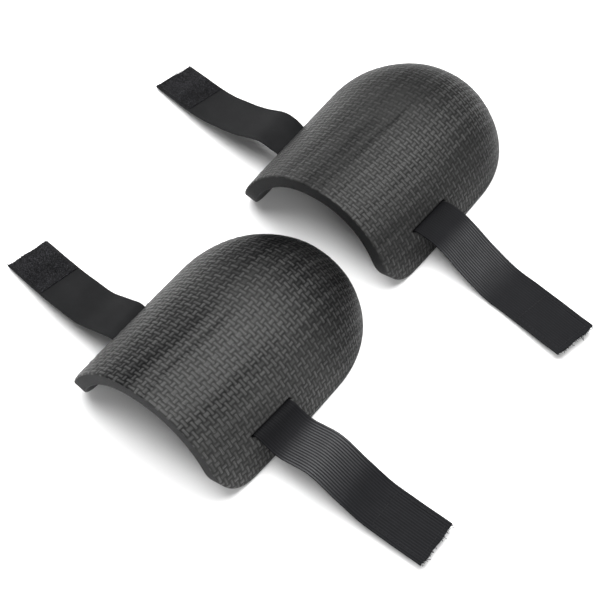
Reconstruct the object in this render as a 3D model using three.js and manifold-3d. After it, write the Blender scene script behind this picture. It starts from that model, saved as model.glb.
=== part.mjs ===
// A pair of strap-on foam knee pads, laid dome up, one behind the other.
// Millimetres, +Z up. Each pad points its round end along +Y and stands on its rim at z = 0.
// The origin is the middle of the pair's bounding box, on the surface they stand on.
import * as THREE from "three";
import { mergeVertices } from "three/addons/utils/BufferGeometryUtils.js";
import Module from "manifold-3d";

const wasm = await Module();
wasm.setup();

// ---------------------------------------------------------------- driving dimensions

// The moulded pad: an arch that is open at one end and closes in a half dome at the other.
const PAD_HALF_WIDTH = 81; // at the rim, where the dome starts
const CREST_HEIGHT = 65.4; // at the top of the dome
const END_RISE = 0.22; // the arch is this much taller at its open end
const END_TAPER = 0.06; // and this much narrower
const DOME_START = 131.3; // from the open end to the dome's centre
const DOME_STRETCH = 1.1; // the dome's length over its half width
const FOAM_THICKNESS = 11.5;
const CORNER_RADIUS = 31; // of the open end's two corners, in the flat sheet
const RIM_ANGLE = THREE.MathUtils.degToRad(79.7); // how far round the section the rim lies
const SECTION_POWER = 0.935; // 1 is an ellipse; less is squarer
const BELOW_RIM = 3; // skin made below the rim plane, then trimmed off level

// The strap slots, one in each wall.
const SLOT_FROM_END = 63.5; // slot centre to the open end
const SLOT_ABOVE_RIM = 33.5; // along the wall
const SLOT_LENGTH = 44;
const SLOT_GAP = 5;

// The straps. Each pad has a ribbed elastic and a smooth tape, sewn together inside.
const ELASTIC_WIDTH = 41;
const TAPE_WIDTH = 39;
const STRAP_THICKNESS = 1.8;
const CLEARANCE = 0.3; // between pieces that touch
const LAP_START = 15; // up the wall from the slot, where the elastic's inner end stops
const LAP_LENGTH = 30;
const SLOT_BEND = 3; // radius that a strap turns through from the pad's hollow into its slot
const TAIL_STANDOFF = 3.2; // from the wall to the line that a tail bends about at its slot
const HINGE_GAP = 2.4; // between two links of a tail, so that they can fold
const END_LINK = 52; // length of the link that carries the hook or loop patch

const PATCH_LENGTH = 45;
const PATCH_WIDTH = 36;
const PATCH_THICKNESS = 1.8;
const PATCH_SETBACK = 2.5; // from the strap's cut end
const STITCH_INSET = 1.6; // from the patch's edge to the thread line
const THREAD = 0.6; // thickness of a line of stitching
const SEAM_WIDTH = 1.2; // across the doubled line of thread

// How the pair lies. The rear pad is turned a little, as it was put down.
const FRONT_PLACE = [7.9, -221.2];
const REAR_PLACE = [-4.2, 0.9];
const REAR_TURN = THREE.MathUtils.degToRad(1.4);

// Each tail from its slot outwards. profile holds [distance out in plan, height of the mid line];
// swing is how far, in degrees, its end points towards the dome.
const TAILS = {
  front: {
    elastic: { swing: 0, profile: [[0, 0], [18, 25.5], [45, 29.7], [72, 18.2], [96, 8.6], [145, 6.6]] },
    tape: { swing: 14, profile: [[0, 0], [15, 27.3], [35, 18.2], [56, 15.4], [76, 12.2], [125, 2.4]] },
  },
  rear: {
    elastic: { swing: -15.5, profile: [[0, 0], [18, 29.5], [44, 15], [70, 4.8], [98, 3.9], [149, 8.4]] },
    tape: { swing: 16.7, profile: [[0, 0], [16, 36.4], [40, 26.5], [64, 18.4], [88, 12], [144, 2.4]] },
  },
};
// How far each tail bends, in degrees down (worn) and up (lifted off), at its slot and two bends.
const BEND_RANGES = [[-40, 75], [-75, 60], [-45, 60]];
const SET_APART = 0.1; // metres that the rear pad may be slid away

const ROWS_ABOVE_CORNER = 11;
const CORNER_STEPS = 6;
const WALL_STEPS = 8;
const DOME_STEPS = 18;

// ---------------------------------------------------------------- the pad's outer skin

const power = (value) => Math.sign(value) * Math.abs(value) ** SECTION_POWER;
const RIM_COS = power(Math.cos(RIM_ANGLE));
const RIM_SIN = power(Math.sin(RIM_ANGLE));

// The section at the dome's start: [distance from the middle, height] at angle t from the crest.
function section(t) {
  const across = (PAD_HALF_WIDTH * power(Math.sin(t))) / RIM_SIN;
  const height = (CREST_HEIGHT * (power(Math.cos(t)) - RIM_COS)) / (1 - RIM_COS);
  return [across, height];
}

// The angle at which the section is `arc` millimetres down from the crest, and the reverse.
const SECTION_TABLE = [[0, 0]];
for (let i = 1; i <= 900; i++) {
  const t = (i * 0.1 * Math.PI) / 180;
  const [ax, az] = section(t - (0.1 * Math.PI) / 180);
  const [bx, bz] = section(t);
  SECTION_TABLE.push([t, SECTION_TABLE[i - 1][1] + Math.hypot(bx - ax, bz - az)]);
}
function lookUp(value, from, to) {
  const i = SECTION_TABLE.findIndex((row, k) => k > 0 && row[from] >= value);
  const low = SECTION_TABLE[i - 1];
  const high = SECTION_TABLE[i];
  return THREE.MathUtils.mapLinear(value, low[from], high[from], low[to], high[to]);
}
const angleAtArc = (arc) => lookUp(arc, 1, 0);
const RIM_ARC = lookUp(RIM_ANGLE, 0, 1);

// A point of the outer skin on the walls, at distance y from the open end. Negative t is the left wall.
function wallPoint(t, y) {
  const [across, height] = section(t);
  const u = 1 - y / DOME_START;
  return new THREE.Vector3(across * (1 - END_TAPER * u * u), y, height * (1 + END_RISE * u * u));
}

// A point of the outer skin on the dome, at bearing phi from +X.
function domePoint(t, phi) {
  const [across, height] = section(t);
  const y = DOME_START + DOME_STRETCH * across * Math.sin(phi);
  return new THREE.Vector3(across * Math.cos(phi), y, height);
}

function outwardNormal(point, t, v) {
  const step = 1e-3;
  const along = point(t + step, v).sub(point(t - step, v));
  const round = point(t, v + step).sub(point(t, v - step));
  const normal = along.cross(round).normalize();
  return normal.z < 0 ? normal.negate() : normal;
}

// The walls are as thick as the foam sheet within each section, so the open end is cut square.
function wallNormal(t, y) {
  return outwardNormal(wallPoint, t, y).setY(0).normalize();
}

// One closed shell of foam: rows run from the crest to the rim, columns from the open end along the
// right wall, round the dome and back along the left wall.
function padShell() {
  const rows = [];
  for (let i = 0; i <= ROWS_ABOVE_CORNER; i++) {
    rows.push({ arc: ((RIM_ARC - CORNER_RADIUS) * i) / ROWS_ABOVE_CORNER, setback: 0 });
  }
  for (let i = 1; i <= CORNER_STEPS; i++) {
    const turn = (i * Math.PI) / 2 / CORNER_STEPS;
    const arc = RIM_ARC - CORNER_RADIUS * (1 - Math.sin(turn));
    rows.push({ arc, setback: CORNER_RADIUS * (1 - Math.cos(turn)) });
  }
  rows.push({ arc: RIM_ARC + BELOW_RIM, setback: CORNER_RADIUS });

  const outer = [];
  const inner = [];
  for (const row of rows) {
    const t = angleAtArc(row.arc);
    const ring = [];
    const wall = (side, k) => {
      const y = row.setback + (DOME_START - row.setback) * k;
      ring.push([wallPoint(side * t, y), wallNormal(side * t, y)]);
    };
    for (let i = 0; i < WALL_STEPS; i++) wall(1, i / WALL_STEPS);
    for (let i = 0; i <= DOME_STEPS; i++) {
      const phi = (Math.PI * i) / DOME_STEPS;
      const up = new THREE.Vector3(0, 0, 1);
      ring.push([domePoint(t, phi), row.arc > 0 ? outwardNormal(domePoint, t, phi) : up]);
    }
    for (let i = WALL_STEPS - 1; i >= 0; i--) wall(-1, i / WALL_STEPS);
    outer.push(ring.map(([point]) => point));
    inner.push(ring.map(([point, normal]) => point.clone().addScaledVector(normal, -FOAM_THICKNESS)));
  }

  const triangles = [];
  const quad = (a, b, c, d) => triangles.push(a, b, c, a, c, d);
  const lastRow = rows.length - 1;
  const lastColumn = outer[0].length - 1;
  for (let i = 0; i < lastRow; i++) {
    for (let j = 0; j < lastColumn; j++) {
      quad(outer[i][j], outer[i + 1][j], outer[i + 1][j + 1], outer[i][j + 1]);
      quad(inner[i][j], inner[i][j + 1], inner[i + 1][j + 1], inner[i + 1][j]);
    }
    quad(outer[i][0], inner[i][0], inner[i + 1][0], outer[i + 1][0]);
    const [a, b] = [outer[i][lastColumn], outer[i + 1][lastColumn]];
    quad(a, b, inner[i + 1][lastColumn], inner[i][lastColumn]);
  }
  for (let j = 0; j < lastColumn; j++) {
    quad(outer[lastRow][j], inner[lastRow][j], inner[lastRow][j + 1], outer[lastRow][j + 1]);
  }
  return new THREE.BufferGeometry().setFromPoints(triangles);
}

// ---------------------------------------------------------------- solids

function toSolid(geometry) {
  const bare = new THREE.BufferGeometry();
  bare.setAttribute("position", geometry.getAttribute("position"));
  bare.setIndex(geometry.index);
  const merged = mergeVertices(bare, 1e-3);
  const index = merged.index.array;
  const kept = [];
  for (let i = 0; i < index.length; i += 3) {
    const [a, b, c] = [index[i], index[i + 1], index[i + 2]];
    if (a !== b && b !== c && c !== a) kept.push(a, b, c);
  }
  const vertProperties = merged.getAttribute("position").array;
  return new wasm.Manifold(new wasm.Mesh({ numProp: 3, vertProperties, triVerts: Uint32Array.from(kept) }));
}

function toGeometry(solid) {
  const { vertProperties, triVerts } = solid.getMesh();
  const geometry = new THREE.BufferGeometry();
  geometry.setAttribute("position", new THREE.BufferAttribute(vertProperties, 3));
  geometry.setIndex(new THREE.BufferAttribute(triVerts, 1));
  geometry.computeVertexNormals();
  return geometry;
}

function cut(geometry, tools) {
  let solid = toSolid(geometry);
  for (const tool of tools) solid = solid.subtract(toSolid(tool));
  return toGeometry(solid);
}

// A flat band of constant section through stations, each { at, across, up }.
function band(stations, width, thickness) {
  const corners = stations.map(({ at, across, up }) =>
    [[-1, -1], [1, -1], [1, 1], [-1, 1]].map(([a, b]) =>
      at
        .clone()
        .addScaledVector(across, (a * width) / 2)
        .addScaledVector(up, (b * thickness) / 2),
    ),
  );
  const triangles = [];
  const quad = (a, b, c, d) => triangles.push(a, b, c, a, c, d);
  for (let i = 0; i + 1 < corners.length; i++) {
    for (let k = 0; k < 4; k++) {
      const next = (k + 1) % 4;
      quad(corners[i][k], corners[i][next], corners[i + 1][next], corners[i + 1][k]);
    }
  }
  const last = corners[corners.length - 1];
  quad(...corners[0].toReversed());
  quad(...last);
  const geometry = new THREE.BufferGeometry().setFromPoints(triangles);
  return toSolid(geometry).volume() < 0 ? reversed(geometry) : geometry;
}

function reversed(geometry) {
  const flipped = geometry.clone();
  const position = flipped.getAttribute("position");
  const from = geometry.getAttribute("position");
  for (let i = 0; i < position.count; i += 3) {
    position.setXYZ(i + 1, from.getX(i + 2), from.getY(i + 2), from.getZ(i + 2));
    position.setXYZ(i + 2, from.getX(i + 1), from.getY(i + 1), from.getZ(i + 1));
  }
  return flipped;
}

// A closed rectangular frame, its sides lineWidth wide and depth thick, over stations.
function frameOver(stationsOver, length, width, lineWidth, depth) {
  const outer = band(stationsOver(0, length), width, depth);
  const inner = band(stationsOver(lineWidth, length - lineWidth), width - 2 * lineWidth, depth * 4);
  return cut(outer, [inner]);
}

// A line of sewing thread, doubled, round a rectangle of that length and width.
function threadLine(stationsOver, length, width) {
  return frameOver(stationsOver, length, width, SEAM_WIDTH, THREAD);
}

// ---------------------------------------------------------------- where the straps run

// The wall at a slot: its mid point on the outer skin, the ways out, down the wall and along the slot.
function slotFrame(side) {
  const t = side * angleAtArc(RIM_ARC - SLOT_ABOVE_RIM);
  const at = wallPoint(t, SLOT_FROM_END);
  const along = wallPoint(t, SLOT_FROM_END + 1).sub(wallPoint(t, SLOT_FROM_END - 1)).normalize();
  const out = outwardNormal(wallPoint, t, SLOT_FROM_END);
  const down = out.clone().cross(along).multiplyScalar(-side);
  return { at, out, down, along };
}

function slotCutter(side) {
  const { at, out, down, along } = slotFrame(side);
  const cutter = new THREE.BoxGeometry(FOAM_THICKNESS * 3, SLOT_LENGTH, SLOT_GAP);
  const turn = new THREE.Matrix4().makeBasis(out, along, out.clone().cross(along));
  cutter.applyMatrix4(turn);
  const middle = at.clone().addScaledVector(out, -FOAM_THICKNESS / 2);
  return cutter.translate(middle.x, middle.y, middle.z);
}

// A point under the foam, `up` millimetres of wall above a slot, `deep` from the foam and `aside`
// millimetres towards the dome from the slot's middle.
function underWall(side, up, deep, aside) {
  const arc = RIM_ARC - SLOT_ABOVE_RIM - up;
  const t = (arc < 0 ? -1 : 1) * side * angleAtArc(Math.abs(arc));
  const y = SLOT_FROM_END + aside;
  return wallPoint(t, y).addScaledVector(wallNormal(t, y), -FOAM_THICKNESS - deep);
}

// The strap's line through a slot, from just above it inside the pad to just outside the wall.
const LIP = SLOT_GAP / 2 - CLEARANCE - STRAP_THICKNESS / 2; // the strap rides on the lower lip
const UNDER_FOAM = 2 * CLEARANCE + STRAP_THICKNESS / 2;
const OUTSIDE = FOAM_THICKNESS + TAIL_STANDOFF - HINGE_GAP / 2;
function throughSlot(side, aside) {
  const { at, out, down, along } = slotFrame(side);
  const place = (outward, downward) =>
    at
      .clone()
      .addScaledVector(out, outward - FOAM_THICKNESS)
      .addScaledVector(down, downward)
      .addScaledVector(along, aside);
  const points = [place(-UNDER_FOAM, -6)];
  for (const turn of [0, 30, 60, 90]) {
    const angle = THREE.MathUtils.degToRad(turn);
    const outward = -UNDER_FOAM + SLOT_BEND * (1 - Math.cos(angle));
    points.push(place(outward, LIP - SLOT_BEND * (1 - Math.sin(angle))));
  }
  points.push(place(FOAM_THICKNESS / 2, LIP), place(OUTSIDE, LIP));
  return points;
}

// Stations at the given distances along a smooth curve.
function stationsOn(curve, distances, acrossAt) {
  const total = curve.getLength();
  return distances.map((distance) => {
    const share = THREE.MathUtils.clamp(distance / total, 0, 1);
    const across = acrossAt(share);
    const up = curve.getTangentAt(share).cross(across).normalize();
    return { at: curve.getPointAt(share), across, up };
  });
}

function evenly(from, to, steps) {
  return Array.from({ length: steps + 1 }, (_, i) => THREE.MathUtils.lerp(from, to, i / steps));
}

// Distances along a strap inside the pad, counted from its slot: close together round the bend.
function insideDistances(length) {
  const bendStart = OUTSIDE - 3;
  const bendEnd = OUTSIDE + 7;
  return [0, ...evenly(bendStart, bendEnd, 9), ...evenly(bendEnd, length, Math.ceil(length / 7)).slice(1)];
}

function smooth(points) {
  const curve = new THREE.CatmullRomCurve3(points, false, "centripetal");
  curve.arcLengthDivisions = 600;
  return curve;
}

// A strap inside the pad: its mid line and the direction across it, from its two edges' lines.
function insideLine(pointsAt, width) {
  const curve = smooth(pointsAt(0));
  const [near, far] = [-width / 2, width / 2].map((aside) => smooth(pointsAt(aside)));
  const acrossAt = (share) => far.getPointAt(share).sub(near.getPointAt(share)).normalize();
  return { curve, acrossAt, length: curve.getLength() };
}

// The elastic inside the pad, from the right slot over the crest to the lap above the left slot.
function elasticSpan() {
  const halfArc = RIM_ARC - SLOT_ABOVE_RIM;
  const pointsAt = (aside) => {
    const points = throughSlot(1, aside).toReversed();
    for (let i = 0; i <= 9; i++) {
      points.push(underWall(1, THREE.MathUtils.lerp(16, 2 * halfArc - LAP_START, i / 9), UNDER_FOAM, aside));
    }
    return points;
  };
  const { curve, acrossAt, length } = insideLine(pointsAt, ELASTIC_WIDTH);
  return band(stationsOn(curve, insideDistances(length), acrossAt), ELASTIC_WIDTH, STRAP_THICKNESS);
}

// The smooth tape inside the pad, from the left slot up to its inner end under the elastic.
function tapeInside() {
  const underElastic = UNDER_FOAM + STRAP_THICKNESS + 2 * CLEARANCE;
  const pointsAt = (aside) => {
    const points = throughSlot(-1, aside).toReversed();
    points.push(underWall(-1, 9, UNDER_FOAM + 0.6, aside));
    for (let i = 0; i <= 4; i++) {
      points.push(underWall(-1, LAP_START + (LAP_LENGTH * i) / 4, underElastic, aside));
    }
    return points;
  };
  return insideLine(pointsAt, TAPE_WIDTH);
}
function tapeSpan() {
  const { curve, acrossAt, length } = tapeInside();
  return band(stationsOn(curve, insideDistances(length), acrossAt), TAPE_WIDTH, STRAP_THICKNESS);
}

// The thread that joins the tape to the elastic, on the knee's side of the lap.
function lapStitching() {
  const { curve, acrossAt, length } = tapeInside();
  const seam = LAP_LENGTH - 6;
  const start = length - 3 - seam;
  const lift = STRAP_THICKNESS / 2 + CLEARANCE + THREAD / 2;
  const over = (a, b) =>
    stationsOn(curve, evenly(start + a, start + b, 6), acrossAt).map(({ at, across, up }) => {
      const knee = at.clone().addScaledVector(up, up.z > 0 ? -lift : lift);
      return { at: knee, across, up };
    });
  return threadLine(over, seam, TAPE_WIDTH - 8);
}

// A tail's mid line outside the slot, and the direction across it.
function tailLine(side, { swing, profile }) {
  const { at, out, down } = slotFrame(side);
  const root = at.clone().addScaledVector(out, TAIL_STANDOFF).addScaledVector(down, LIP);
  const reach = profile[profile.length - 1][0];
  const heading = (share) => THREE.MathUtils.degToRad(swing) * share;
  const plan = (distance) => {
    // the heading grows evenly along the tail, so its plan is an arc
    const bend = heading(distance / reach) / 2;
    const out2 = new THREE.Vector3(side * Math.cos(bend), Math.sin(bend), 0);
    return out2.multiplyScalar(distance);
  };
  const points = profile.map(([distance, height]) => {
    const point = root.clone().add(plan(distance));
    if (distance > 0) point.z = height;
    return point;
  });
  const curve = smooth(points);
  const acrossAt = (share) => {
    const turn = heading(share);
    return new THREE.Vector3(-side * Math.sin(turn), Math.cos(turn), 0);
  };
  return { curve, acrossAt, length: curve.getLength() };
}

// ---------------------------------------------------------------- one pad and its straps

const MATERIALS = {
  foam: new THREE.MeshStandardMaterial({ color: 0x3a3b3c, roughness: 0.62, metalness: 0 }),
  elastic: new THREE.MeshStandardMaterial({ color: 0x242527, roughness: 0.8, metalness: 0 }),
  tape: new THREE.MeshStandardMaterial({ color: 0x2b2c2e, roughness: 0.9, metalness: 0 }),
  hook: new THREE.MeshStandardMaterial({ color: 0x19191a, roughness: 0.7, metalness: 0 }),
  loop: new THREE.MeshStandardMaterial({ color: 0x1b1b1e, roughness: 1, metalness: 0 }),
  thread: new THREE.MeshStandardMaterial({ color: 0x202021, roughness: 0.7, metalness: 0 }),
};

function addMesh(group, name, geometry, material) {
  const mesh = new THREE.Mesh(geometry, MATERIALS[material].clone());
  mesh.name = name;
  group.add(mesh);
}

function foamPad() {
  const reach = 3 * PAD_HALF_WIDTH;
  const floor = new THREE.BoxGeometry(reach, 2 * reach, 2 * PAD_HALF_WIDTH);
  floor.translate(0, reach / 2, -PAD_HALF_WIDTH);
  return cut(padShell(), [floor, slotCutter(1), slotCutter(-1)]);
}

// Three links, the patch and its thread. Returns the lines that the links bend about.
function addTail(group, label, side, strap, tail) {
  const { curve, acrossAt, length } = tailLine(side, tail);
  const width = strap === "elastic" ? ELASTIC_WIDTH : TAPE_WIDTH;
  const endBend = length - END_LINK;
  const bends = [0, endBend / 2, endBend];
  const linkNames = ["root", "middle"];
  linkNames.forEach((linkName, i) => {
    const from = bends[i] + HINGE_GAP / 2;
    const to = bends[i + 1] - HINGE_GAP / 2;
    const link = band(stationsOn(curve, evenly(from, to, 8), acrossAt), width, STRAP_THICKNESS);
    addMesh(group, `${label}_${strap}_tail_${linkName}`, link, strap);
  });

  // The end link is straight, so the patch on it is flat.
  const from = curve.getPointAt(endBend / length);
  const tip = curve.getPointAt(1);
  const along = tip.clone().sub(from).normalize();
  const across = acrossAt(1 - END_LINK / 2 / length);
  across.addScaledVector(along, -across.dot(along)).normalize();
  const up = along.clone().cross(across).normalize();
  if (up.z < 0) up.negate();
  const span = tip.distanceTo(from);
  const layer = (start, end, rise) =>
    [start, end].map((distance) => {
      const at = from.clone().addScaledVector(along, distance).addScaledVector(up, rise);
      return { at, across, up };
    });
  const link = band(layer(HINGE_GAP / 2, span, 0), width, STRAP_THICKNESS);
  addMesh(group, `${label}_${strap}_tail_end`, link, strap);

  // The loop patch is on the tape's upper face, the hook patch on the elastic's lower face. The seam
  // shows on top: sunk in the loop pile, or lying on the elastic over the hook patch.
  const isLoop = strap === "tape";
  const patchName = isLoop ? "loop" : "hook";
  const patchRise = STRAP_THICKNESS / 2 + CLEARANCE + PATCH_THICKNESS / 2;
  const patchStart = span - PATCH_SETBACK - PATCH_LENGTH;
  const patchLayer = layer(patchStart, patchStart + PATCH_LENGTH, isLoop ? patchRise : -patchRise);
  const seamStart = patchStart + STITCH_INSET;
  const seamLength = PATCH_LENGTH - 2 * STITCH_INSET;
  const seamWidth = PATCH_WIDTH - 2 * STITCH_INSET;
  let patch = band(patchLayer, PATCH_WIDTH, PATCH_THICKNESS);
  let threadRise = STRAP_THICKNESS / 2 + CLEARANCE + THREAD / 2;
  if (isLoop) {
    threadRise = patchRise + PATCH_THICKNESS / 2 - CLEARANCE - THREAD / 2;
    const start = seamStart - CLEARANCE;
    const over = (a, b) => layer(start + a, start + b, threadRise + CLEARANCE / 2);
    const [length2, width2] = [seamLength + 2 * CLEARANCE, seamWidth + 2 * CLEARANCE];
    const groove = frameOver(over, length2, width2, SEAM_WIDTH + 2 * CLEARANCE, THREAD + 3 * CLEARANCE);
    patch = cut(patch, [groove]);
  }
  addMesh(group, `${label}_${patchName}_patch`, patch, patchName);
  const over = (a, b) => layer(seamStart + a, seamStart + b, threadRise);
  const seam = threadLine(over, seamLength, seamWidth);
  addMesh(group, `${label}_${patchName}_stitching`, seam, "thread");

  // Positive turns lift the tail, on either side.
  return bends.map((distance) => ({
    at: curve.getPointAt(distance / length),
    axis: acrossAt(distance / length).multiplyScalar(-side),
  }));
}

function kneePad(label) {
  const group = new THREE.Group();
  addMesh(group, `${label}_foam_pad`, foamPad(), "foam");
  addMesh(group, `${label}_elastic_span`, elasticSpan(), "elastic");
  addMesh(group, `${label}_tape_span`, tapeSpan(), "tape");
  addMesh(group, `${label}_lap_stitching`, lapStitching(), "thread");
  const bends = {
    elastic: addTail(group, label, 1, "elastic", TAILS[label].elastic),
    tape: addTail(group, label, -1, "tape", TAILS[label].tape),
  };
  return { group, bends };
}

// ---------------------------------------------------------------- the pair

const pair = new THREE.Group();
const front = kneePad("front");
const rear = kneePad("rear");
front.group.position.set(...FRONT_PLACE, 0);
rear.group.position.set(...REAR_PLACE, 0);
rear.group.rotation.z = REAR_TURN;
pair.add(front.group, rear.group);
pair.updateMatrixWorld(true);

// The lines that the pieces move about, in the pair's own frame.
const joints = [{ name: "rear_pad_set_apart", slide: [0, 1, 0], range: [0, SET_APART] }];
for (const [label, { group, bends }] of Object.entries({ front, rear })) {
  for (const [strap, lines] of Object.entries(bends)) {
    lines.forEach(({ at, axis }, i) => {
      const name = `${label}_${strap}_${["lift", "fold", "end_fold"][i]}`;
      const place = at.applyMatrix4(group.matrixWorld).toArray();
      const turned = axis.transformDirection(group.matrixWorld).toArray();
      joints.push({ name, place, axis: turned, range: BEND_RANGES[i] });
    });
  }
}
pair.userData.joints = joints;

export default pair;
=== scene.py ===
import math

import bpy
import numpy as np
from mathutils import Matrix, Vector


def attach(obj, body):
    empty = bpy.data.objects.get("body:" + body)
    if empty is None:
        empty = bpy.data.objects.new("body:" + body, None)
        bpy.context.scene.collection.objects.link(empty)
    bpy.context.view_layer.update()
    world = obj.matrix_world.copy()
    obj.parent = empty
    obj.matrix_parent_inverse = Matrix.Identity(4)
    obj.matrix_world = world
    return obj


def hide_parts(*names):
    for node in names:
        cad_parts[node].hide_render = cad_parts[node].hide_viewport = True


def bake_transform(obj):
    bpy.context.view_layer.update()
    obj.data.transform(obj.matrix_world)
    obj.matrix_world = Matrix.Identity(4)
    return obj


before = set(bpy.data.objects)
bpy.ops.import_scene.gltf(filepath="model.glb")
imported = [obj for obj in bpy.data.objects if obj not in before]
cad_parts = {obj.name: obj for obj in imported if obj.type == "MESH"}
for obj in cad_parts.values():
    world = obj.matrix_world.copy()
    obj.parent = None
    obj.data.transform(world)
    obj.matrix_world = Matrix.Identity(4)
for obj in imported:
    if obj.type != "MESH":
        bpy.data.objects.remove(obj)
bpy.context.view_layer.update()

MM = 0.001

# ---- the design's dimensions, as in the CAD

HALF_WIDTH, CREST_HEIGHT = 0.081, 0.0654
END_RISE, END_TAPER = 0.22, 0.06
DOME_START, DOME_STRETCH = 0.1313, 1.1
FOAM = 0.0115
CORNER_RADIUS = 0.031
RIM_ANGLE, SECTION_POWER = math.radians(79.7), 0.935
SLOT_FROM_END, SLOT_ABOVE_RIM, SLOT_LENGTH, SLOT_GAP = 0.0635, 0.0335, 0.044, 0.005
ELASTIC_WIDTH, TAPE_WIDTH, STRAP_THICKNESS = 0.041, 0.039, 0.0018
CLEARANCE = 0.0003
LAP_START, LAP_LENGTH = 0.015, 0.030
SLOT_BEND, TAIL_STANDOFF, HINGE_GAP, END_LINK = 0.003, 0.0032, 0.0024, 0.052
PATCH_LENGTH, PATCH_WIDTH, PATCH_SETBACK = 0.045, 0.036, 0.0025
STITCH_INSET = 0.0016

# Each tail from its slot outwards: [distance out in plan, height of the mid line], and how far in
# degrees its end points towards the dome.
TAILS = {
    ("front", "elastic"): (0, [(0, 0), (18, 25.5), (45, 29.7), (72, 18.2), (96, 8.6), (145, 6.6)]),
    ("front", "tape"): (14, [(0, 0), (15, 27.3), (35, 18.2), (56, 15.4), (76, 12.2), (125, 2.4)]),
    ("rear", "elastic"): (-15.5, [(0, 0), (18, 29.5), (44, 15), (70, 4.8), (98, 3.9), (149, 8.4)]),
    ("rear", "tape"): (16.7, [(0, 0), (16, 36.4), (40, 26.5), (64, 18.4), (88, 12), (144, 2.4)]),
}

# The embossed weave: lengthwise warp bands over and under narrower crosswise weft bands.
WARP_PITCH_MM, WEFT_PITCH_MM = 5.4, 4.37
WARP_HALF_MM, WEFT_HALF_MM = 2.05, 1.46
EMBOSS = 0.00075
STEPS_A_CELL = 6

# ---- formulas that shaders and meshes share


class Term:
    """A number inside a shader, so that a formula for it reads like one for an array."""

    def __init__(self, tree, socket):
        self.tree = tree
        self.socket = socket

    def math(self, operation, *others):
        node = self.tree.nodes.new("ShaderNodeMath")
        node.operation = operation
        for place, value in zip(node.inputs, (self, *others)):
            if isinstance(value, Term):
                self.tree.links.new(value.socket, place)
            else:
                place.default_value = value
        return Term(self.tree, node.outputs[0])

    def __add__(self, other):
        return self.math("ADD", other)

    def __sub__(self, other):
        return self.math("SUBTRACT", other)

    def __mul__(self, other):
        return self.math("MULTIPLY", other)

    def __truediv__(self, other):
        return self.math("DIVIDE", other)

    __radd__, __rmul__ = __add__, __mul__


def either(operation, of_array):
    """A function that works on a shader's Term and on an array alike."""

    def function(value, *others):
        if isinstance(value, Term):
            return value.math(operation, *others)
        return of_array(value, *others)

    return function


floor = either("FLOOR", np.floor)
cosine = either("COSINE", np.cos)
sine = either("SINE", np.sin)
larger = either("MAXIMUM", np.maximum)
smaller = either("MINIMUM", np.minimum)
power = either("POWER", np.power)


def rise(value, low, high):
    """From 0 at low to 1 at high, with no corners."""
    share = smaller(larger((value - low) / (high - low), 0.0), 1.0)
    return share * share * (share * -2.0 + 3.0)


def side_of(index):
    """1 for an even index and -1 for an odd one."""
    half = index / 2.0
    return (half - floor(half)) * -4.0 + 1.0


def round_top(place):
    """A rounded ridge from -1 to 1, of height 1."""
    return power(larger(place * place * -1.0 + 1.0, 0.0), 0.5)


def crown(place):
    """A ridge from -1 to 1, of height 1, that falls off evenly to its sides."""
    return larger(place * place * -1.0 + 1.0, 0.0)


def woven(across_mm, along_mm):
    """Height of the embossed weave, from 0 in its grooves to 1, at a place on the flat sheet."""
    # the sheet was stretched a little unevenly when it was moulded
    drift = sine(along_mm * 0.043 + across_mm * 0.021) * 0.30 + sine(along_mm * 0.117) * 0.14
    creep = sine(across_mm * 0.052 - along_mm * 0.017) * 0.34 + sine(across_mm * 0.131) * 0.15
    column_at, row_at = (across_mm + drift) / WARP_PITCH_MM, (along_mm + creep) / WEFT_PITCH_MM
    column, row = floor(column_at), floor(row_at)
    warp_up = side_of(column) * cosine((row_at - 0.5) * math.pi) * -0.5 + 0.5
    weft_up = side_of(row) * cosine((column_at - 0.5) * math.pi) * 0.5 + 0.5
    warp_half = sine(column * 2.4) * 0.22 + 0.85
    vary = sine(column * 127.1 + row * 311.7) * 0.20 + sine(column * 3.9 + row * 0.21) * 0.14 + 0.84
    warp = crown((column_at - column - 0.5) * (WARP_PITCH_MM / WARP_HALF_MM) / warp_half)
    weft = crown((row_at - row - 0.5) * (WEFT_PITCH_MM / WEFT_HALF_MM))
    return larger(warp * rise(warp_up, 0.22, 0.62) * 0.86, weft * rise(weft_up, 0.18, 0.55)) * vary


# ---- the pad's outer skin


def signed_power(value):
    return np.sign(value) * np.abs(value) ** SECTION_POWER


RIM_COS, RIM_SIN = signed_power(math.cos(RIM_ANGLE)), signed_power(math.sin(RIM_ANGLE))


def section(turn):
    """The section where the dome starts: distance from the middle and height at a turn from the crest."""
    across = HALF_WIDTH * signed_power(np.sin(turn)) / RIM_SIN
    height = CREST_HEIGHT * (signed_power(np.cos(turn)) - RIM_COS) / (1 - RIM_COS)
    return across, height


TURNS = np.linspace(0, math.radians(89), 4000)
ARCS = np.concatenate([[0], np.cumsum(np.hypot(*np.diff(section(TURNS))))])
RIM_ARC = float(np.interp(RIM_ANGLE, TURNS, ARCS))
SLOT_ARC = RIM_ARC - SLOT_ABOVE_RIM


def skin(s, v):
    """The outer skin at s across and v along the flat sheet, measured from the open end's middle."""
    on_dome = v > DOME_START
    radius = np.where(on_dome, np.hypot(s, v - DOME_START), np.abs(s))
    bearing = np.where(on_dome, np.arctan2(v - DOME_START, s), np.where(s < 0, np.pi, 0))
    across, height = section(np.interp(radius, ARCS, TURNS))
    u = np.where(on_dome, 0, 1 - v / DOME_START)
    x = across * np.cos(bearing) * (1 - END_TAPER * u * u)
    y = np.where(on_dome, DOME_START + DOME_STRETCH * across * np.sin(bearing), v)
    return np.stack([x, y, height * (1 + END_RISE * u * u)], -1)


def unit(vectors):
    return vectors / np.linalg.norm(vectors, axis=-1, keepdims=True)


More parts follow.
